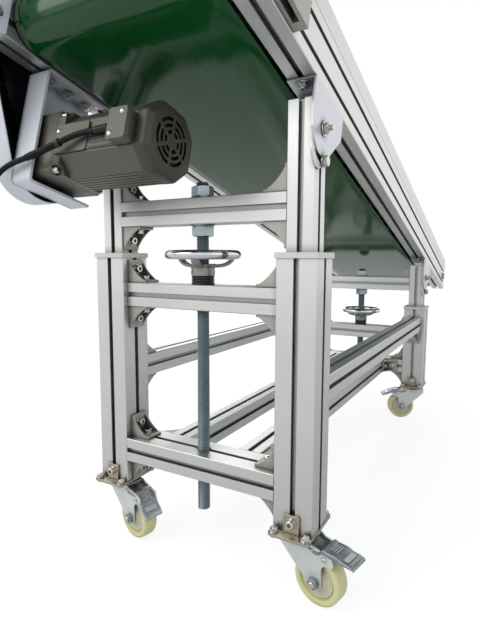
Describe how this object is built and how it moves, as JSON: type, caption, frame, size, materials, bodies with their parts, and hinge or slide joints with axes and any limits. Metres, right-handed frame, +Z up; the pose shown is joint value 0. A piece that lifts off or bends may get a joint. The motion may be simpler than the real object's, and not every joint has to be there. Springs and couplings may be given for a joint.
{
  "type": "portable belt conveyor",
  "caption": "Inclined belt conveyor on a wheeled slotted-profile stand, with handwheel lifting screws, swivel plates, chain drive and side motor.",
  "frame": {"origin": "middle of the whole object's box at floor level, the free lead left out", "axes": "+X across the belt to the side away from the chain guard, +Y along the belt from the drive end to the low tail end, +Z up"},
  "size_m": [0.5314, 1.629, 0.8873],
  "materials": {
    "profile": "satin anodised extrusion",
    "guard": "satin anodised strip",
    "bracket": "die cast, tumbled",
    "cap": "moulded nylon",
    "zinc": "zinc plated sheet",
    "screw": "rolled thread, oiled",
    "bolt": "zinc plated",
    "handwheel": "polished plating",
    "bearing": "black",
    "wheel": "cream polyurethane",
    "belt": "smooth green belting",
    "roller": "turned steel",
    "white_sheet": "powder coat",
    "plate": "zinc plated plate",
    "motor": "grey enamel on cast aluminium",
    "fan": "dark moulded cover",
    "chain": "oiled steel",
    "lead": "black sheath",
    "connector": "black moulding"
  },
  "bodies": {
    "base": {"outer_legs_front": "profile", "outer_legs_rear": "profile", "leg_caps": "cap", "low_cross_bars": "profile", "middle_cross_bars": "profile", "high_side_beams": "profile", "low_side_beams": "profile", "cross_bar_brackets": "bracket", "beam_brackets": "bracket", "thrust_bearings": "bearing", "caster_mounts": "zinc"},
    "front_frame": {"inner_legs_front": "profile", "lift_bar_front": "profile", "lift_brackets_front": "bracket", "lifting_screw_front": "screw", "lock_bolts_front": "bolt"},
    "rear_frame": {"inner_legs_rear": "profile", "lift_bar_rear": "profile", "lift_brackets_rear": "bracket", "lifting_screw_rear": "screw"},
    "front_handwheel": {"handwheel_front": "handwheel"},
    "rear_handwheel": {"handwheel_rear": "handwheel"},
    "front_pins": {"pivot_bolts_front": "bolt"},
    "bed": {"rail_left": "profile", "rail_right": "profile", "side_guards": "guard", "belt": "belt", "drive_roller": "roller", "tail_roller": "roller", "bed_plate": "plate", "bed_cross_bars": "profile", "end_plates": "white_sheet", "motor_bracket": "white_sheet", "gearbox": "motor", "motor_body": "motor", "fan_cover": "fan", "terminal_cover": "motor", "chain_guard": "white_sheet", "sprockets": "chain", "chain": "chain", "take_up_block": "bracket", "swivel_plates_front": "plate", "motor_lead": "lead", "lead_gland": "lead", "lead_connector": "connector"},
    "rear_nuts": {"slide_nuts_rear": "bolt"},
    "rear_swivels": {"swivel_plates_rear": "plate", "pivot_bolts_rear": "bolt", "lock_bolts_rear": "bolt"},
    "fork_front_left": {"caster_fork_front_left": "zinc"},
    "wheel_front_left": {"caster_wheel_front_left": "wheel"},
    "fork_front_right": {"caster_fork_front_right": "zinc"},
    "wheel_front_right": {"caster_wheel_front_right": "wheel"},
    "fork_rear_left": {"caster_fork_rear_left": "zinc"},
    "wheel_rear_left": {"caster_wheel_rear_left": "wheel"},
    "fork_rear_right": {"caster_fork_rear_right": "zinc"},
    "wheel_rear_right": {"caster_wheel_rear_right": "wheel"}
  },
  "joints": [
    {"name": "front_lift", "type": "slide", "parent": "base", "child": "front_frame", "axis": [0, 0, 1], "range_m": [0, 0.1]},
    {"name": "rear_lift", "type": "slide", "parent": "base", "child": "rear_frame", "axis": [0, 0, 1], "range_m": [-0.01, 0.09]},
    {"name": "front_wheel_turn", "type": "hinge", "parent": "base", "child": "front_handwheel", "pos_m": [0.00001, -0.56029, 0.48], "axis": [0, 0, 1], "continuous": true},
    {"name": "rear_wheel_turn", "type": "hinge", "parent": "base", "child": "rear_handwheel", "pos_m": [0.00001, 0.3507, 0.31], "axis": [0, 0, 1], "continuous": true},
    {"name": "front_pivot", "type": "hinge", "parent": "front_frame", "child": "front_pins", "pos_m": [0.00001, -0.56029, 0.6627], "axis": [1, 0, 0], "range_deg": [-5.85, 0]},
    {"name": "bed_pivot", "type": "hinge", "parent": "front_pins", "child": "bed", "pos_m": [0.00001, -0.56029, 0.6667], "axis": [1, 0, 0], "range_deg": [-0.6, 5.37]},
    {"name": "nut_slide", "type": "slide", "parent": "bed", "child": "rear_nuts", "axis": [0, 0.9701, -0.2428], "range_m": [0, 0.02601]},
    {"name": "rear_plate_slide", "type": "slide", "parent": "rear_nuts", "child": "rear_swivels", "axis": [0, 0.9701, -0.2428], "range_m": [-0.02026, 0.00226]},
    {"name": "front_left_swivel", "type": "hinge", "parent": "base", "child": "fork_front_left", "pos_m": [-0.17, -0.56029, 0.095], "axis": [0, 0, 1], "continuous": true},
    {"name": "front_left_roll", "type": "hinge", "parent": "fork_front_left", "child": "wheel_front_left", "pos_m": [-0.13409, -0.56925, 0.0375], "axis": [0.2419, 0.9703, 0], "continuous": true},
    {"name": "front_right_swivel", "type": "hinge", "parent": "base", "child": "fork_front_right", "pos_m": [0.17, -0.56029, 0.095], "axis": [0, 0, 1], "continuous": true},
    {"name": "front_right_roll", "type": "hinge", "parent": "fork_front_right", "child": "wheel_front_right", "pos_m": [0.2062, -0.56799, 0.0375], "axis": [0.2079, 0.9781, 0], "continuous": true},
    {"name": "rear_left_swivel", "type": "hinge", "parent": "base", "child": "fork_rear_left", "pos_m": [-0.17, 0.3507, 0.095], "axis": [0, 0, 1], "continuous": true},
    {"name": "rear_left_roll", "type": "hinge", "parent": "fork_rear_left", "child": "wheel_rear_left", "pos_m": [-0.20643, 0.35713, 0.0375], "axis": [-0.1736, -0.9848, 0], "continuous": true},
    {"name": "rear_right_swivel", "type": "hinge", "parent": "base", "child": "fork_rear_right", "pos_m": [0.17, 0.3507, 0.095], "axis": [0, 0, 1], "continuous": true},
    {"name": "rear_right_roll", "type": "hinge", "parent": "fork_rear_right", "child": "wheel_rear_right", "pos_m": [0.13647, 0.33507, 0.0375], "axis": [0.4226, -0.9063, 0], "continuous": true}
  ],
  "couplings": [
    {"joint": "front_pivot", "follows": "front_lift", "rad_per_m": -1.02},
    {"joint": "bed_pivot", "follows": "rear_lift", "rad_per_m": 1.04},
    {"joint": "nut_slide", "follows": "front_lift", "ratio": 0.26},
    {"joint": "rear_plate_slide", "follows": "rear_lift", "ratio": -0.225}
  ]
}
